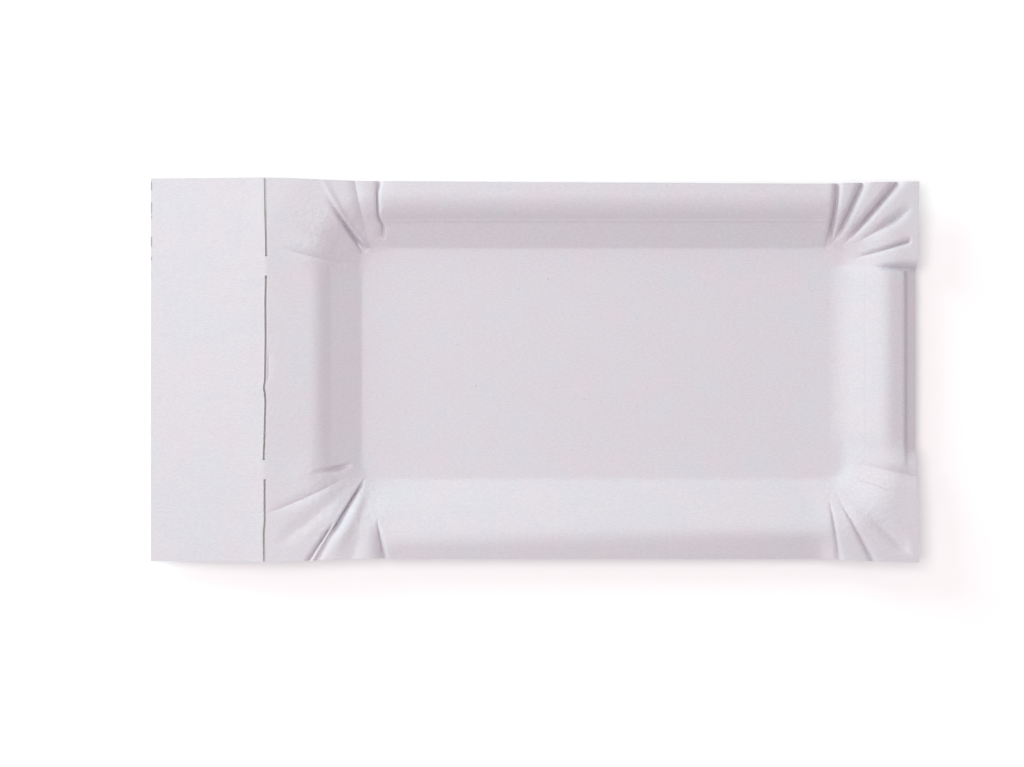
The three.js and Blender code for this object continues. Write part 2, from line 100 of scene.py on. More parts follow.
# Creases of the fluted corners, anticlockwise. Each starts on the arc of the floor corner, from
# 0 to 1, and meets the edge at a distance past the corner tip. It grows and fades along its way
# outward, and its flanks fall to it from both sides, the far one after it, and meet in a rounding
# that is as wide as soft. Its groove is the dark line at its bottom, wider at its mouth, and its
# fold a lap of board beside it.
corners = {
    "rightFront": [
        crease(0.00, -20.9, 0.5, begins=0.1, grows=0.9, flank=1.8, groove=0.8, grooveWidth=0.5,
               mouth=2.5),
        crease(0.06, -12.1, 0.8, begins=0.1, grows=0.8, flank=2.0, groove=0.5, grooveWidth=0.7,
               mouth=0.8),
        crease(0.24, -0.3, 0.9, begins=0.15, grows=0.5, fades=0.93, fadeSpan=0.12, stay=0.0,
               flank=3.6, soft=1.0, groove=0.0),
        crease(0.38, 14.2, 0.1, fades=0.8, stay=0.0, bow=1.4, flank=1, groove=0.22,
               grooveWidth=0.4),
        crease(1.00, 22.3, 1.3, begins=0.1, grows=0.9, bow=0.2, flank=3.2, groove=0.0),
    ],
    "rightBack": [
        crease(0.00, -23.0, 2.2, begins=0.35, grows=0.5, flank=2.4, groove=0.5, grooveWidth=1.2),
        crease(0.12, -15.0, 1.2, begins=0.0, grows=0.8, flank=1.4, fades=0.91, fadeSpan=0.04,
               stay=0.0, groove=0.5, grooveWidth=0.8),
        crease(0.47, -5.9, 1.4, begins=0.15, grows=0.6, flank=2.6, fades=0.93, fadeSpan=0.25,
               stay=0.0, soft=0.2, groove=0.3),
        crease(0.56, 5.5, 1.9, grows=0.4, flank=2.7, groove=0.7, grooveWidth=1.2),
        crease(0.82, 14.7, 1.7, grows=0.4, flank=2.2, groove=0.7, grooveWidth=1.1),
        crease(1.00, 21.2, 1.6, begins=-0.02, grows=0.2, bow=-0.4, flank=1.5, farFlank=1.8,
               groove=0.9, grooveWidth=1.2),
    ],
    "leftBack": [
        crease(0.00, -29.2, 0.3, begins=0.12, grows=0.12, flank=1.5, groove=1.2, grooveWidth=0.6,
               mouth=1.5, wander=((0.0, -1.3), (0.3, -1.2), (0.5, 0.3), (0.8, 0.5), (1.0, 0.0))),
        crease(0.30, -22.8, 0.6, bow=0.3, flank=2.4, groove=0.1, grooveWidth=0.4),
        crease(0.55, -13.1, 1.3, begins=0.0, grows=0.1, fades=0.82, fadeSpan=0.4, stay=0.0,
               bow=0.4, flank=1.6, groove=0.8, grooveWidth=1.1, fold=-0.8, foldGap=1.3,
               foldWidth=0.5),
        crease(0.72, 9.5, 0.3, fades=0.8, stay=0.0, flank=5, groove=0.0),
        crease(1.00, 16.8, 0.5, begins=0.0, fades=0.85, stay=0.0, bow=0.8, flank=2.5, farFlank=1.0,
               grooveWidth=0.35),
    ],
    "leftFront": [
        crease(0.00, -20.5, 1.2, begins=0.1, grows=0.15, fades=0.55, fadeSpan=0.35, stay=0.0,
               flank=1.7, groove=0.8, grooveWidth=1.0),
        crease(0.20, -12.6, 0.4, stay=0.3, fades=1.0, bow=0.7, flank=2.4, groove=0.1,
               grooveWidth=0.35),
        crease(0.38, -2.6, 0.4, fades=1.0, stay=0.4, bow=0.9, flank=4.5, soft=1.0, groove=0.0),
        crease(0.45, 10.8, 0.8, begins=0.56, grows=0.15, flank=1.4, groove=0.6, grooveWidth=0.7),
        crease(0.50, 12.9, 1.7, begins=0.03, grows=0.2, fades=0.74, fadeSpan=0.15, stay=0.4,
               bow=-0.3, flank=1.4, farFlank=3.8, groove=0.5, grooveWidth=1.0, fold=0.6,
               foldGap=3.0, foldWidth=1.6),
        crease(0.76, 22.0, 0.4, begins=0.45, bow=0.4, flank=2.5, soft=1.0, groove=0.0),
        crease(1.00, 30.6, 1.8, begins=0.45, grows=0.5, bow=-1.1, flank=5.0, farFlank=1.2,
               groove=1.0, mouth=2.5),
    ],
}
# What all the creases share
pleating = {
    "flankAtFoot": 0.4,  # share of its width at the edge that a flank has at the foot
    "flankRoundness": 1.8,  # 1 is a plain V, more rounds the ridges between the creases
    "grooveLead": 2,  # a groove grows this much faster than its crease
    "mouthStart": 0.82,  # share of the way outward at which a groove starts to open
    "foldAtFoot": 0.5,  # share of its distance from the crease that a fold has at the foot
    "bowReach": 8.0,  # how far along a wall the bow of a crease is felt
    "crushStart": 0.02,  # shares of the way outward between which the board is crushed
    "crushFull": 0.17,
    "crushFade": 0.55,
    "crushEnd": 0.9,
    "crushReach": 7.0,  # and how far along a wall from its creases
}

# How far along a wall the rolled rim takes to run out, at its start and at its end. The second
# number is 1 for a flat slope, more for a hollow one and less for one that rises at once.
rimEnds = {"right": ((8.0, 0.4), (1.3, 1.5)), "back": ((4.2, 1.5), (1.3, 1.5)),
           "left": ((8.0, 1.5), (8.0, 1.5)), "front": ((3.6, 1.5), (5.5, 1.5))}

# The tear line was cut with a blunt rule and then bent, so its slits wander and are ragged
tearing = {
    # place along the width, and how far the cut has strayed there from a straight line
    "strays": ((-50.0, -0.3), (-43.0, -0.4), (-39.0, -0.15), (-29.9, -0.2), (-22.1, -0.45),
               (-18.2, -0.25), (-13.0, -0.13), (-8.3, 0.0), (-6.5, -0.1), (-4.6, -0.4),
               (-2.5, -0.1), (4.0, 0.0), (7.9, 0.05), (18.3, 0.0), (23.5, 0.1), (30.0, 0.18),
               (50.0, -0.08)),
    "raggedness": 0.11,
    "raggedLength": 0.8,
    "raggedFrom": 4.0,  # towards the back the cut is clean
    "raggedSpan": 8.0,  # and towards the front it turns ragged over this length
    "wallLayer": 9.0,  # where in the noise each of the two edges is cut
    "tabLayer": 5.0,
    "bottomGap": 0.1,  # each slit is a V: its edges almost meet at the underside
    "rollOver": 0.04,  # the wall's cut edge is pressed down,
    "burr": 0.05,  # and the tab's is turned up
    "rollWidth": 0.4,
    "rollRoundness": 1.5,  # 1 is a plain slope
    "sliver": (-2.8, 5.0),  # where a thin sliver of board is split from the wall
    "sliverEnds": (0.8, 2.0),  # how far it takes to start and to run out
    "sliverGap": 0.5,  # from the cut edge
    "sliverWidth": 0.11,
    "sliverDepth": 0.3,
}

meshing = {
    "stripsPerFlute": 16,
    "stripsPerRimEnd": 7,
    "rimEndCrowding": 1.5,  # 1 spaces the strips evenly, more crowds them at the creases
    "fluteCrowding": 0.85,  # 0 spaces the strips evenly, 1 crowds them at the creases
    "closest": 0.15,  # millimetres, as are all sizes here, between a station and a fixed place
    "narrowest": 0.001,  # flutes narrow to nothing at the foot, but for this
    # between stations along a straight wall
    "wallStep": {"right": 3.0, "back": 3.0, "left": 0.7, "front": 3.0},
    "ringSteps": (3, 3, 4, 4, 4, 4, 4, 3, 4, 4, 4, 5, 4, 5),  # between the main rings
    "floorRim": 4.3,  # the innermost ring, inside the foot of every wall
    "kneeStrip": 0.7,  # the fine rings on both sides of a knee,
    "lipStrip": 0.9,  # before a lip
    "edgeStrip": 0.8,  # and next to the edge
    "grooveThinning": 0.02,  # how far a groove may thin the board
    "floorRings": 8,
    "floorReach": 0.92,  # share of the way from the innermost ring to the middle line
    "tabStep": 1.2,
    "tabLevelling": 0.15,  # share of the tab over which it follows the wall's edge
}

tearLine = -tray["length"] / 2 + tray["tabLength"]
rimLeft = tearLine + tray["slitWidth"] / 2
tabRight = tearLine - tray["slitWidth"] / 2
rimRight = tray["length"] / 2
rimBack = tray["width"] / 2
rimFront = -tray["width"] / 2
trayLength = rimRight - rimLeft
outlineLength = 2 * (tray["width"] + trayLength)

wallNames = ["right", "back", "left", "front"]
cornerNames = ["rightFront", "rightBack", "leftBack", "leftFront"]
cornerTips = [0, tray["width"], tray["width"] + trayLength, 2 * tray["width"] + trayLength]


def blend(start, end, share):
    return start + (end - start) * share


def smoothStep(share):
    held = min(max(share, 0.0), 1.0)
    return held * held * (3 - 2 * held)


tipPoints = [Vector((rimRight, rimFront + tray["tips"]["rightFront"])),
             Vector((rimRight, rimBack - tray["tips"]["rightBack"])),
             Vector((rimLeft, rimBack - tray["tips"]["leftBack"])),
             Vector((rimLeft, rimFront + tray["tips"]["leftFront"]))]
inwards = [Vector((-1, 0)), Vector((0, -1)), Vector((1, 0)), Vector((0, 1))]


def outlinePoint(place):  # anticlockwise from the right front corner tip
    along = place % outlineLength
    side = max(index for index, tip in enumerate(cornerTips) if along >= tip - 1e-9)
    past = along - cornerTips[side]
    length = tray["width"] if side % 2 == 0 else trayLength
    straight = tipPoints[side].lerp(tipPoints[(side + 1) % 4], past / length)
    drawn = smoothStep(min(past, length - past) / tray["pullLength"])
    return straight + inwards[side] * tray[wallNames[side]]["pull"] * drawn


def sideMiddle(side):
    return outlinePoint(cornerTips[side] + (tray["width"] if side % 2 == 0 else trayLength) / 2)


footRight = sideMiddle(0).x - tray["right"]["run"]
footBack = sideMiddle(1).y - tray["back"]["run"]
footLeft = sideMiddle(2).x + tray["left"]["run"]
footFront = sideMiddle(3).y + tray["front"]["run"]
arcCentres = [
    (footRight - tray["footRadius"], footFront + tray["footRadius"]),
    (footRight - tray["footRadius"], footBack - tray["footRadius"]),
    (footLeft + tray["footRadius"], footBack - tray["footRadius"]),
    (footLeft + tray["footRadius"], footFront + tray["footRadius"]),
]


def footPoint(corner, share):
    angle = (corner - 1 + share) * math.pi / 2
    out = Vector((math.cos(angle), math.sin(angle)))
    return Vector(arcCentres[corner]) + out * tray["footRadius"], out


def softRamp(distance, soft):
    if distance <= -soft:
        return 0.0
    if distance >= soft:
        return distance
    return (distance + soft) ** 2 / (4 * soft)


def sectionSlopes(bends, endRun=None, endRise=None):
    knots = list(bends)
    if endRun is not None:
        knots.append((endRun, endRise, 0))
    turns = []
    slope = 0.0
    for here, following in zip(knots, knots[1:]):
        steeper = (following[1] - here[1]) / (following[0] - here[0])
        turns.append((here[0], here[2], steeper - slope))
        slope = steeper
    return turns


def sectionHeight(turns, distance):
    return sum(change * softRamp(distance - run, soft) for run, soft, change in turns)


def wallSections(wall):  # at the wall's start and at its far end
    start = sectionSlopes(wall["bends"], wall["run"], tray["rimHeight"] - wall["drop"])
    return start, sectionSlopes(wall["farBends"], wall["run"], tray["rimHeight"] - wall["farDrop"])


sections = {name: wallSections(tray[name]) for name in wallNames}
earSections = [sectionSlopes(tray["leftEar" if name.startswith("left") else "rightEar"])
               for name in cornerNames]


def distanceFromFoot(x, y):
    radius = tray["footRadius"]
    pastX = abs(x - (footLeft + footRight) / 2) - (footRight - footLeft) / 2 + radius
    pastY = abs(y - (footFront + footBack) / 2) - (footBack - footFront) / 2 + radius
    outside = math.hypot(max(pastX, 0), max(pastY, 0))
    return outside + min(max(pastX, pastY), 0) - radius


def creaseStrength(crease, outward):
    grown = smoothStep((outward - crease["begins"]) / crease["grows"])
    fading = smoothStep((outward - crease["fades"] + crease["fadeSpan"]) / crease["fadeSpan"])
    return grown, blend(1, crease["stay"], fading)


def creaseDepth(crease, outward, gap, room, flank):  # at a gap away from the crease
    grown, left = creaseStrength(crease, outward)
    reach = min(crease[flank] * blend(pleating["flankAtFoot"], 1, outward), room)
    gap = math.hypot(gap, crease["soft"]) - crease["soft"]
    fall = max(0, 1 - gap / reach) ** pleating["flankRoundness"]
    return crease["depth"] * grown * left * fall


def creaseMark(crease, outward, gap, side, room):  # its groove, less the fold beside it
    grown, left = creaseStrength(crease, outward)
    opened = smoothStep((outward - pleating["mouthStart"]) / (1 - pleating["mouthStart"]))
    width = crease["grooveWidth"] * (1 + crease["mouth"] * opened)
    groove = crease["groove"] / (1 + (gap / (width / 2)) ** 2) ** 2
    foldGap = crease["foldGap"] * blend(pleating["foldAtFoot"], 1, outward)
    across = (gap - foldGap) / crease["foldWidth"]
    fold = max(crease["fold"] * side, 0) * math.exp(-across ** 2)
    fold *= smoothStep((room - gap) / crease["foldWidth"])
    return smoothStep(grown * pleating["grooveLead"]) * groove * left - grown * fold


def creaseShift(crease, outward):  # sideways from a straight line
    shift = crease["bow"] * 4 * outward * (1 - outward)
    for (near, low), (far, high) in zip(crease["wander"], crease["wander"][1:]):
        if near <= outward <= far:
            shift += blend(low, high, smoothStep((outward - near) / (far - near)))
    return shift


def ringShares(name):
    wall = tray[name]
    runs = [bend[0] for bend in wall["bends"]]
    bend = max(wall["bends"][0][2], tray["rightEar"][0][2])
    knee, crest = runs[1], runs[2]
    lip = runs[-1] if len(runs) > 3 else (crest + wall["run"]) / 2
    main = [-meshing["floorRim"], runs[0] - bend, runs[0], runs[0] + bend,
            blend(runs[0] + bend, knee, 0.5), knee - meshing["kneeStrip"], knee,
            knee + meshing["kneeStrip"], blend(knee, crest, 0.5), crest, blend(crest, lip, 0.5),
            lip - meshing["lipStrip"], lip, wall["run"] - meshing["edgeStrip"], wall["run"]]
    distances = [main[0]]
    for index, steps in enumerate(meshing["ringSteps"]):
        for step in range(1, steps + 1):
            distances.append(blend(main[index], main[index + 1], step / steps))
    return [distance / wall["run"] for distance in distances]


ringsOf = {name: ringShares(name) for name in wallNames}


def makePanels():  # from one crease to the next round the tray: flutes, then a straight wall
    creases = [corners[name] for name in cornerNames]
    panels = []
    for corner, own in enumerate(creases):
        tip = cornerTips[corner]
        following = (corner + 1) % 4
        nextTip = cornerTips[following] if following else outlineLength
        for first, second in zip(own, own[1:]):
            panels.append({"corner": corner, "first": first, "second": second, "wall": None,
                           "start": tip + first["rim"], "end": tip + second["rim"]})
        first, second = own[-1], creases[following][0]
        panels.append({"corner": corner, "first": first, "second": second,
                       "wall": wallNames[corner], "following": following,
                       "start": tip + first["rim"], "end": nextTip + second["rim"]})
    return panels


def evenShares(start, end, strips):
    return [blend(start, end, step / strips) for step in range(strips)]


def crowded(share):  # more stations close to the two creases
    return share - meshing["fluteCrowding"] * math.sin(2 * math.pi * share) / (2 * math.pi)


nickEnds = [(cornerTips[2] + tray["backSlit"], cornerTips[2] + tray["backSlit"] + tray["nick"]),
            (cornerTips[3] - tray["frontSlit"] - tray["nick"], cornerTips[3] - tray["frontSlit"])]
fixedPlaces = cornerTips + [place for ends in nickEnds for place in ends]


def stationShares(panel):
    length = panel["end"] - panel["start"]
    if panel["wall"]:
        firstEnd, lastEnd = [end / length for end, _ in rimEnds[panel["wall"]]]
        middle = round(length * (1 - firstEnd - lastEnd) / meshing["wallStep"][panel["wall"]])
        ends = evenShares(0, 1, meshing["stripsPerRimEnd"])
        crowding = meshing["rimEndCrowding"]
        shares = [share ** crowding * firstEnd for share in ends]
        shares += evenShares(firstEnd, 1 - lastEnd, middle)
        shares += [1 - (1 - share) ** crowding * lastEnd for share in ends]
    else:
        shares = [crowded(share) for share in evenShares(0, 1, meshing["stripsPerFlute"])]
    fixed = [(place - panel["start"]) / length for place in fixedPlaces
             if panel["start"] < place < panel["end"]]
    clear = meshing["closest"] / length
    kept = [share for share in shares
            if share == 0 or all(abs(other - share) > clear for other in fixed)]
    return sorted(kept + fixed)


def isSlit(place):  # whether the edge is cut free there, on the tear line
    inside = cornerTips[2] <= place <= cornerTips[3]
    return inside and not any(start <= place <= end for start, end in nickEnds)


def slitStray(y):
    knots = tearing["strays"]
    for (near, low), (far, high) in zip(knots, knots[1:]):
        if near <= y <= far:
            return blend(low, high, smoothStep((y - near) / (far - near)))
    return 0.0


def raggedEdge(y, layer):
    rough = noise.noise(Vector((y / tearing["raggedLength"], layer, 0.0)))
    torn = smoothStep((tearing["raggedFrom"] - y) / tearing["raggedSpan"])
    return rough * tearing["raggedness"] * torn


def edgeRoll(gap):  # 1 at a cut edge, and 0 where its rounding ends
    return max(0, 1 - gap / tearing["rollWidth"]) ** tearing["rollRoundness"]


def sliverCut(y, gap):
    start, end = tearing["sliver"]
    startSpan, endSpan = tearing["sliverEnds"]
    ends = smoothStep((y - start) / startSpan) * smoothStep((end - y) / endSpan)
    across = (gap - tearing["sliverGap"]) / tearing["sliverWidth"]
    return ends * tearing["sliverDepth"] * math.exp(-across ** 2)


def makeStation(panel, share):
    corner, first, second, wall = (panel[key] for key in ("corner", "first", "second", "wall"))
    place = blend(panel["start"], panel["end"], share)
    station = {"panel": panel, "share": share, "place": place, "rim": outlinePoint(place)}
    if cornerTips[2] <= place <= cornerTips[3]:
        y = station["rim"].y
        station["cut"] = tearLine + slitStray(y)
        station["tabX"] = tabRight + slitStray(y) + raggedEdge(y, tearing["tabLayer"])
        station["rim"].x += slitStray(y) + raggedEdge(y, tearing["wallLayer"])
    if wall:
        before, out = footPoint(corner, first["foot"])
        after, _ = footPoint(panel["following"], second["foot"])
        station.update(foot=before.lerp(after, share), out=out, rings=ringsOf[wall],
                       run=tray[wall]["run"])
        return station
    turn = blend(first["foot"], second["foot"], share)
    foot, out = footPoint(corner, turn)
    before, after = wallNames[corner - 1], wallNames[corner]
    rings = [blend(a, b, turn) for a, b in zip(ringsOf[before], ringsOf[after])]
    station.update(foot=foot, out=out, rings=rings,
                   run=blend(tray[before]["run"], tray[after]["run"], turn))
    return station


def stationPoint(station, outward):
    if outward < 0:
        return station["foot"] + station["out"] * outward * station["run"]
    point = station["foot"].lerp(station["rim"], outward)
    along = (station["rim"] - station["foot"]).normalized()
    sideways = Vector((-along.y, along.x))
    panel, share = station["panel"], station["share"]
    firstWeight, secondWeight = 1 - share, share
    if panel["wall"]:  # a wall follows its creases only near its ends
        length = panel["end"] - panel["start"]
        firstWeight = max(0, 1 - share * length / pleating["bowReach"])
        secondWeight = max(0, 1 - (1 - share) * length / pleating["bowReach"])
    shift = firstWeight * creaseShift(panel["first"], outward)
    return point + sideways * (shift + secondWeight * creaseShift(panel["second"], outward))


def pressedHeight(station, outward, point):
    panel, share = station["panel"], station["share"]
    first, second, wall = panel["first"], panel["second"], panel["wall"]
    distance = distanceFromFoot(point.x, point.y)
    ear = sectionHeight(earSections[panel["corner"]], distance)
    length = panel["end"] - panel["start"]
    across = length if wall else max(length * outward, meshing["narrowest"])
    firstGap, secondGap = share * across, (1 - share) * across
    marks = creaseMark(first, outward, firstGap, 1, across)
    marks += creaseMark(second, outward, secondGap, -1, across)
    if not wall:
        flanks = creaseDepth(first, outward, firstGap, across / 2, "farFlank")
        flanks += creaseDepth(second, outward, secondGap, across / 2, "flank")
        return ear - flanks, marks
    near, far = sections[wall]
    height = blend(sectionHeight(near, distance), sectionHeight(far, distance), share)
    knee = tray[wall]["bends"][1][0]
    beside = (distance - knee) / tray["kneeLineWidth"]
    height += tray[wall]["kneeLine"] * math.exp(-beside ** 2)
    (firstEnd, firstRise), (lastEnd, lastRise) = rimEnds[wall]
    firstHold = max(0, 1 - firstGap / firstEnd) ** firstRise
    lastHold = max(0, 1 - secondGap / lastEnd) ** lastRise
    nextEar = sectionHeight(earSections[panel["following"]], distance)
    flanks = creaseDepth(first, outward, firstGap, length / 2, "farFlank")
    flanks += creaseDepth(second, outward, secondGap, length / 2, "flank")
    height += firstHold * (ear - height) + lastHold * (nextEar - height)
    return height - flanks, marks


def waviness(x, y):
    waves = Vector((x / tray["waveLength"], y / tray["waveLength"], tray["waveLayer"]))
    return tray["waviness"] * noise.noise(waves)


def crushing(station, outward):  # how much the pressing has crumpled the board there, 0 to 1
    start, full, fade, end = (pleating[key] for key in
                              ("crushStart", "crushFull", "crushFade", "crushEnd"))
    radial = smoothStep((outward - start) / (full - start))
    radial *= 1 - smoothStep((outward - fade) / (end - fade))
    panel, share = station["panel"], station["share"]
    if not panel["wall"]:
        return radial
    gap = min(share, 1 - share) * (panel["end"] - panel["start"])
    return radial * (1 - smoothStep(gap / pleating["crushReach"]))


def buildTray():
    uppers, lowers, faces, crushed = [], [], [], []

    def addPoint(x, y, height, groove=0.0, crush=0.0, taper=0.0):
        uppers.append((x, y, height - groove + tray["board"]))
        lowers.append((x + taper, y, height))
        crushed.append(crush)
        return len(uppers) - 1

    def addStrip(near, far):
        for index in range(1, len(near)):
            faces.append((near[index - 1], far[index - 1], far[index], near[index]))

    stations = [makeStation(panel, share) for panel in makePanels()
                for share in stationShares(panel)]
    for station in stations:
        station["points"] = []
        for outward in station["rings"]:
            point = stationPoint(station, outward)
            height, groove = pressedHeight(station, outward, point)
            waving = smoothStep((outward - tray["waveStart"]) / tray["waveGrowth"])
            height += waviness(point.x, point.y) * waving
            taper = 0.0
            if isSlit(station["place"]):
                gap = (1 - outward) * station["run"]
                if gap == 0:
                    taper = station["cut"] + tearing["bottomGap"] / 2 - point.x
                height -= tearing["rollOver"] * edgeRoll(gap)
                groove += sliverCut(point.y, gap)
            top = min(max(height - groove, 0), tray["highest"])
            height = min(max(height, 0), top + meshing["grooveThinning"])
            station["points"].append(addPoint(point.x, point.y, height, height - top,
                                              crushing(station, outward), taper))
    closed = stations + stations[:1]
    for ring in range(1, len(ringsOf["back"])):
        addStrip([station["points"][ring - 1] for station in closed],
                 [station["points"][ring] for station in closed])

    middleY = (footFront + footBack) / 2
    reach = (footBack - footFront) / 2
    loops = [[station["points"][0] for station in closed]]
    for ring in range(1, meshing["floorRings"] + 1):
        inward = meshing["floorReach"] * ring / meshing["floorRings"]
        loop = []
        for station in stations:
            x, y, _ = uppers[station["points"][0]]
            spineX = min(max(x, footLeft + reach), footRight - reach)
            loop.append(addPoint(blend(x, spineX, inward), blend(y, middleY, inward), 0.0))
        loops.append(loop + loop[:1])
        addStrip(loops[-1], loops[-2])
    faces.append(tuple(loops[-1][:-1]))

    tabStations = [station for station in stations
                   if cornerTips[2] <= station["place"] <= cornerTips[3]]
    roll = tearing["rollWidth"] / tray["tabLength"]
    even = evenShares(roll, 1, round(tray["tabLength"] / meshing["tabStep"]))
    tabShares = [0, roll / 3, roll * 2 / 3] + even + [1]
    for station in tabStations:
        station["tab"] = []
        for share in tabShares:
            x = blend(station["tabX"], -tray["length"] / 2, share)
            drooped = tray["rimHeight"] - tray["tabDroop"] * share
            rim = lowers[station["points"][-1]][2]
            level = 1 - smoothStep(share / meshing["tabLevelling"])
            height = drooped + (rim - tray["rimHeight"]) * level
            taper = 0.0
            if isSlit(station["place"]):
                if share == 0:
                    taper = station["cut"] - tearing["bottomGap"] / 2 - x
                height += tearing["burr"] * edgeRoll(share * tray["tabLength"])
            height = min(height, tray["highest"])
            station["tab"].append(addPoint(x, station["rim"].y, height, taper=taper))
    for column in range(1, len(tabShares)):
        addStrip([station["tab"][column - 1] for station in tabStations],
                 [station["tab"][column] for station in tabStations])
    for start, end in nickEnds:
        across = [station for station in tabStations if start <= station["place"] <= end]
        addStrip([station["points"][-1] for station in across],
                 [station["tab"][0] for station in across])

    return uppers, lowers, faces, crushed


def thicken(uppers, lowers, faces):
    count = len(uppers)
    vertices = uppers + lowers
    allFaces = list(faces) + [tuple(index + count for index in reversed(face)) for face in faces]
    edges = set()
    for face in faces:
        edges.update(zip(face, face[1:] + face[:1]))
    rims = [(start, end) for start, end in edges if (end, start) not in edges]
    allFaces += [(end, start, start + count, end + count) for start, end in rims]
    return vertices, allFaces, len(rims)


def makeTray():
    uppers, lowers, faces, crushed = buildTray()
    vertices, faces, rimFaces = thicken(uppers, lowers, faces)
    mesh = bpy.data.meshes.new("pressedTray")
    mesh.from_pydata([[value * millimetre for value in vertex] for vertex in vertices], [], faces)
    mesh.validate()
    for polygon in mesh.polygons:
        polygon.use_smooth = True
    mesh.materials.append(boardMaterial())
    mesh.materials.append(cutEdgeMaterial())
    edges = {tuple(sorted(edge.vertices)): edge for edge in mesh.edges}
    for polygon in mesh.polygons[-rimFaces:]:
        polygon.material_index = 1
        for key in polygon.edge_keys:
            edges[tuple(sorted(key))].use_edge_sharp = True
    mesh.attributes.new("crush", "FLOAT", "POINT").data.foreach_set("value", crushed * 2)
    obj = bpy.data.objects.new("pressedTray", mesh)
    bpy.context.collection.objects.link(obj)
    print("tray:", len(mesh.vertices), "vertices,", len(mesh.polygons), "faces")
    return obj


def linear(hexColour):
    values = [int(hexColour[index:index + 2], 16) / 255 for index in (1, 3, 5)]
    return [value / 12.92 if value <= 0.04045 else ((value + 0.055) / 1.055) ** 2.4
            for value in values] + [1.0]


def addNode(tree, kind, settings=None, **inputs):  # i0 is its first socket, others go by name
    node = tree.nodes.new(kind)
    for name, value in (settings or {}).items():
        setattr(node, name, value)
    for name, value in inputs.items():
        socket = node.inputs[int(name[1:]) if name[1:].isdigit() else name]
        if isinstance(value, bpy.types.NodeSocket):
            tree.links.new(value, socket)
        else:
            socket.default_value = value
    return node


boardLook = {
    "warm": "#DCD6DC",  # the two tints that drift over white board
    "cool": "#D8D7DD",
    "roughness": 0.82,
    "ior": 1.5,
    # size in millimetres along x, y and z, as are all sizes here, and the layers of detail
    "patterns": {
        "tint": ((9.5, 9.5, 9.5), 1.0),
        "fibre": ((0.85, 0.4, 0.5), 2.0),  # fibres are 0.03 wide; the eye sees their flocks
        "crumple": ((1.3, 1.3, 1.3), 2.0),  # small wrinkles of crushed board beside the pleats
        # noise that breaks the painted shade on the tab's free edge into dashes
        "paintedEdgeShade": ((2.6, 2.6, 2.6), 1.0),
    },
    "tintSpan": (0.3, 0.7),  # of the noise, from all cool to all warm
    "fibreShade": 0.2,  # how much lighter and darker the flocks are
    "fibreDepth": 0.03,
    "crumpleDepth": 0.22,
    # dark specks of bark in the pulp: x and y on the floor, and radius
    "specks": ((3.6, 23.8, 0.2), (-4.0, 21.4, 0.16), (26.8, 13.6, 0.16), (31.2, 9.2, 0.14),
               (-15.2, -4.1, 0.2), (13.0, -7.5, 0.2), (-20.1, 6.7, 0.18), (72.4, 20.7, 0.16)),
    "speckShade": 0.3,
    "speckCore": 0.5,  # shares of its radius at which a speck starts to pale
    "speckRim": 1.3,  # and has ended
    "paintedEdgeShadeFrom": 24.0,  # painted shade lies in grey dashes on the free edge of the tab, towards the back from here
    "paintedEdgeShadeWidth": 0.3,
    "paintedEdgeShadeInset": 0.1,  # over which the painted shade fades inward
    "paintedEdgeShadeGrowth": 2.0,  # and over which it grows towards the back
    "paintedEdgeShadeSpan": (0.5, 0.56),  # of the noise, from no painted shade to the full painted shade
    # how much the painted shade darkens the board at the tab's free edge
    "paintedEdgeShadeStrength": 0.45,
}


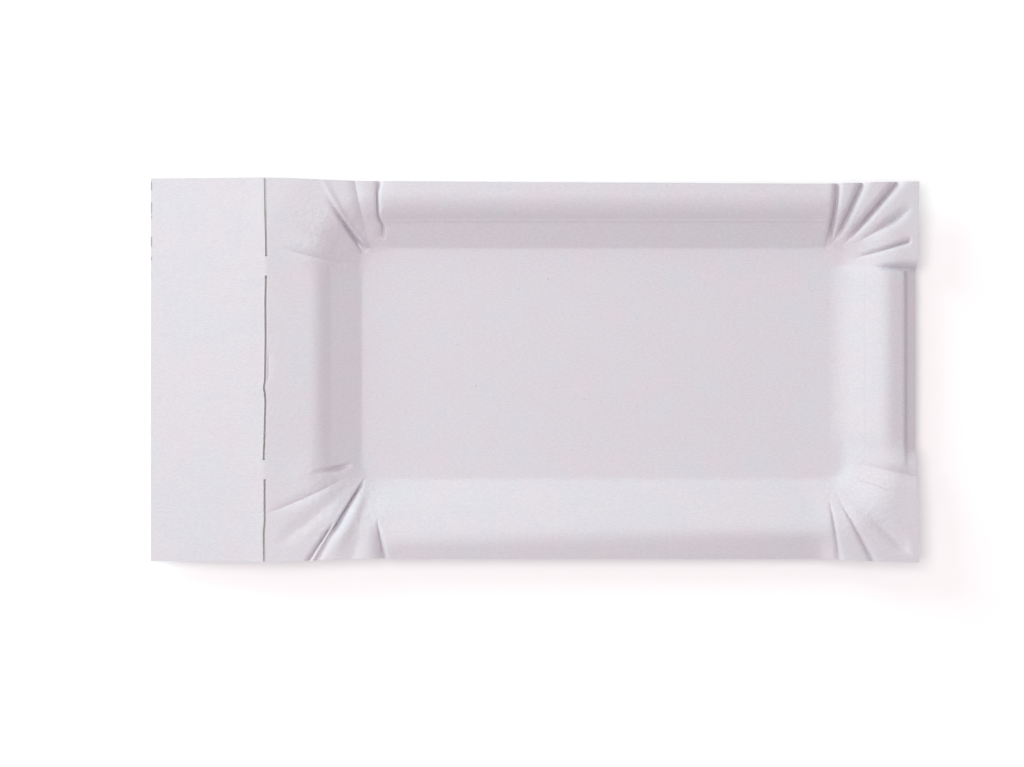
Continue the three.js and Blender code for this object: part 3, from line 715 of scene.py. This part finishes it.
def boardMaterial():  # uncoated white paperboard, pressed: matt, with soft flocks of fibre
    material = bpy.data.materials.new("pressedPaperboard")
    material.use_nodes = True
    tree = material.node_tree
    shader = tree.nodes["Principled BSDF"]
    shader.inputs["Roughness"].default_value = boardLook["roughness"]
    shader.inputs["IOR"].default_value = boardLook["ior"]
    place = addNode(tree, "ShaderNodeTexCoord").outputs["Object"]
    clouds = {}
    for name, (size, detail) in boardLook["patterns"].items():
        sized = addNode(tree, "ShaderNodeMapping", Vector=place,
                        Scale=[1 / (length * millimetre) for length in size])
        clouds[name] = addNode(tree, "ShaderNodeTexNoise", Vector=sized.outputs[0], Scale=1.0,
                               Detail=detail).outputs[0]

    tint = addNode(tree, "ShaderNodeMapRange", i0=clouds["tint"],
                   i1=boardLook["tintSpan"][0], i2=boardLook["tintSpan"][1])
    colour = addNode(tree, "ShaderNodeMix", {"data_type": "RGBA"}, i0=tint.outputs[0],
                     i6=linear(boardLook["cool"]), i7=linear(boardLook["warm"]))
    shade = addNode(tree, "ShaderNodeMapRange", i0=clouds["fibre"],
                    i3=1 - boardLook["fibreShade"] / 2, i4=1 + boardLook["fibreShade"] / 2)
    for x, y, radius in boardLook["specks"]:
        point = Vector((x, y, tray["board"])) * millimetre
        apart = addNode(tree, "ShaderNodeVectorMath", {"operation": "DISTANCE"}, i0=place, i1=point)
        speck = addNode(tree, "ShaderNodeMapRange", i0=apart.outputs["Value"],
                        i1=radius * boardLook["speckCore"] * millimetre,
                        i2=radius * boardLook["speckRim"] * millimetre,
                        i3=1 - boardLook["speckShade"], i4=1.0)
        shade = addNode(tree, "ShaderNodeMath", {"operation": "MULTIPLY"}, i0=shade.outputs[0],
                        i1=speck.outputs[0])

    # Painted shade: the free edge of the tab is darkened in grey dashes, towards the back
    axes = addNode(tree, "ShaderNodeSeparateXYZ", i0=place)
    paintedEdgeShadeInner = (boardLook["paintedEdgeShadeWidth"] - tray["length"] / 2) * millimetre
    paintedEdgeShadeStart = boardLook["paintedEdgeShadeFrom"] * millimetre
    atEdge = addNode(tree, "ShaderNodeMapRange", i0=axes.outputs[0], i1=paintedEdgeShadeInner,
                     i2=paintedEdgeShadeInner + boardLook["paintedEdgeShadeInset"] * millimetre, i3=1.0, i4=0.0)
    towardsBack = addNode(tree, "ShaderNodeMapRange", i0=axes.outputs[1], i1=paintedEdgeShadeStart,
                          i2=paintedEdgeShadeStart + boardLook["paintedEdgeShadeGrowth"] * millimetre)
    paintedEdgeShade = addNode(tree, "ShaderNodeMapRange", i0=clouds["paintedEdgeShade"],
                    i1=boardLook["paintedEdgeShadeSpan"][0], i2=boardLook["paintedEdgeShadeSpan"][1], i3=0.0,
                    i4=boardLook["paintedEdgeShadeStrength"])
    for mask in (atEdge, towardsBack):
        paintedEdgeShade = addNode(tree, "ShaderNodeMath", {"operation": "MULTIPLY"}, i0=paintedEdgeShade.outputs[0],
                        i1=mask.outputs[0])
    paintedEdgeShadeFactor = addNode(tree, "ShaderNodeMath", {"operation": "SUBTRACT"}, i0=1.0,
                        i1=paintedEdgeShade.outputs[0])
    shade = addNode(tree, "ShaderNodeMath", {"operation": "MULTIPLY"}, i0=shade.outputs[0],
                    i1=paintedEdgeShadeFactor.outputs[0])
    shaded = addNode(tree, "ShaderNodeVectorMath", {"operation": "SCALE"}, i0=colour.outputs[2],
                     Scale=shade.outputs[0])
    tree.links.new(shaded.outputs[0], shader.inputs["Base Color"])

    crush = addNode(tree, "ShaderNodeAttribute", {"attribute_name": "crush"})
    wrinkles = addNode(tree, "ShaderNodeMath", {"operation": "MULTIPLY"}, i0=clouds["crumple"],
                       i1=crush.outputs["Fac"])
    flocks = addNode(tree, "ShaderNodeMath", {"operation": "MULTIPLY"}, i0=clouds["fibre"],
                     i1=boardLook["fibreDepth"])
    height = addNode(tree, "ShaderNodeMath", {"operation": "MULTIPLY_ADD"}, i0=wrinkles.outputs[0],
                     i1=boardLook["crumpleDepth"], i2=flocks.outputs[0])
    bump = addNode(tree, "ShaderNodeBump", Strength=1.0, Distance=millimetre,
                   Height=height.outputs[0])
    tree.links.new(bump.outputs[0], shader.inputs["Normal"])
    return material


edgeLook = {
    "light": "#D9D3D4",
    "dark": "#BDB4B2",
    "roughness": 0.9,
    "ply": (2.5, 2.5, 0.09),  # millimetres: plies lie along the edge, a few in its thickness
    "plyDetail": 2.0,
    "plyDepth": 0.02,
}


def cutEdgeMaterial():  # the cut edge of the board, where the greyer middle plies show as lines
    material = bpy.data.materials.new("cutPaperboardEdge")
    material.use_nodes = True
    tree = material.node_tree
    shader = tree.nodes["Principled BSDF"]
    shader.inputs["Roughness"].default_value = edgeLook["roughness"]
    shader.inputs["IOR"].default_value = boardLook["ior"]
    place = addNode(tree, "ShaderNodeTexCoord").outputs["Object"]
    sized = addNode(tree, "ShaderNodeMapping", Vector=place,
                    Scale=[1 / (length * millimetre) for length in edgeLook["ply"]])
    plies = addNode(tree, "ShaderNodeTexNoise", Vector=sized.outputs[0], Scale=1.0,
                    Detail=edgeLook["plyDetail"]).outputs[0]
    colour = addNode(tree, "ShaderNodeMix", {"data_type": "RGBA"}, i0=plies,
                     i6=linear(edgeLook["dark"]), i7=linear(edgeLook["light"]))
    tree.links.new(colour.outputs[2], shader.inputs["Base Color"])
    bump = addNode(tree, "ShaderNodeBump", Strength=1.0,
                   Distance=edgeLook["plyDepth"] * millimetre, Height=plies)
    tree.links.new(bump.outputs[0], shader.inputs["Normal"])
    return material


stageLook = {
    "floor": "#F7F7F7",
    "floorGlow": 0.22,  # seen by the camera alone, so that the floor past the shadow is white
    "floorSize": 3.0,  # metres, as are all sizes here
    "floorGap": 0.00002,  # below the tray, so that the two never share a plane
    "lamps": {  # name: (direction from the tray, metres away, size, watts, colour)
        "key": ((-0.732, 0.597, 0.328), 0.8, 0.35, 3.6, (0.76, 1.0, 0.95)),
        "top": ((-0.2, 0.06, 0.978), 1.0, 0.7, 5.2, (1.0, 0.93, 0.947)),
    },
    "worldColour": (1.0, 0.93, 0.947),
    "worldStrength": 0.41,
}


def makeLamp(name, direction, distance, size, watts, colour):
    lamp = bpy.data.lights.new(name, "AREA")
    lamp.size = size
    lamp.energy = watts
    lamp.color = colour
    obj = bpy.data.objects.new(name, lamp)
    bpy.context.collection.objects.link(obj)
    obj.location = Vector(direction) * distance
    obj.rotation_mode = "QUATERNION"
    obj.rotation_quaternion = Vector(direction).to_track_quat("Z", "Y")
    obj.visible_camera = False


def makeFloor():
    size = stageLook["floorSize"] / 2
    mesh = bpy.data.meshes.new("floor")
    mesh.from_pydata([(-size, -size, 0), (size, -size, 0), (size, size, 0), (-size, size, 0)], [],
                     [(0, 1, 2, 3)])
    floor = bpy.data.objects.new("floor", mesh)
    bpy.context.collection.objects.link(floor)
    floor.location.z = -stageLook["floorGap"]
    material = bpy.data.materials.new("studioFloor")
    material.use_nodes = True
    tree = material.node_tree
    shader = tree.nodes["Principled BSDF"]
    shader.inputs["Base Color"].default_value = linear(stageLook["floor"])
    shader.inputs["Roughness"].default_value = 1.0
    shader.inputs["Specular IOR Level"].default_value = 0.0
    rays = addNode(tree, "ShaderNodeLightPath")
    glow = addNode(tree, "ShaderNodeMath", {"operation": "MULTIPLY"},
                   i0=rays.outputs["Is Camera Ray"], i1=stageLook["floorGlow"])
    shader.inputs["Emission Color"].default_value = (1, 1, 1, 1)
    tree.links.new(glow.outputs[0], shader.inputs["Emission Strength"])
    mesh.materials.append(material)


def makeWorld():
    world = bpy.data.worlds.new("studio")
    bpy.context.scene.world = world
    world.use_nodes = True
    tree = world.node_tree
    tree.nodes.clear()
    rays = addNode(tree, "ShaderNodeLightPath")
    seen = addNode(tree, "ShaderNodeMath", {"operation": "MAXIMUM"},
                   i0=rays.outputs["Is Camera Ray"], i1=rays.outputs["Is Glossy Ray"])
    soft = addNode(tree, "ShaderNodeBackground", Color=(*stageLook["worldColour"], 1),
                   Strength=stageLook["worldStrength"])
    white = addNode(tree, "ShaderNodeBackground", Color=(1, 1, 1, 1), Strength=1.0)
    mixed = addNode(tree, "ShaderNodeMixShader", i0=seen.outputs[0],
                    i1=soft.outputs[0], i2=white.outputs[0])
    addNode(tree, "ShaderNodeOutputWorld", Surface=mixed.outputs[0])


def makeStage():
    makeFloor()
    for name, settings in stageLook["lamps"].items():
        makeLamp(name, *settings)
    makeWorld()
    print("stage: floor, lamps and world")


cameraView = {
    "imageWidth": 1024,
    "pixelsPerMillimetre": 3.8475,
    "middle": (-5.86, -3.49),  # of the picture, in millimetres
    "distance": 1100.0,  # above the rim
    "sensor": 36.0,
}


def makeCamera():
    camera = bpy.data.cameras.new("camera")
    camera.sensor_width = cameraView["sensor"]
    shown = cameraView["imageWidth"] / cameraView["pixelsPerMillimetre"]
    camera.lens = cameraView["sensor"] * cameraView["distance"] / shown
    obj = bpy.data.objects.new("camera", camera)
    bpy.context.collection.objects.link(obj)
    x, y = cameraView["middle"]
    height = cameraView["distance"] + tray["rimHeight"]
    obj.location = Vector((x, y, height)) * millimetre
    bpy.context.scene.camera = obj
    print("camera: straight down,", round(camera.lens), "mm lens")


makeCamera()
makeStage()
pressedTray = makeTray()
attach(pressedTray, "root")
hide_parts("tray")

bpy.context.scene.view_settings.view_transform = "Standard"
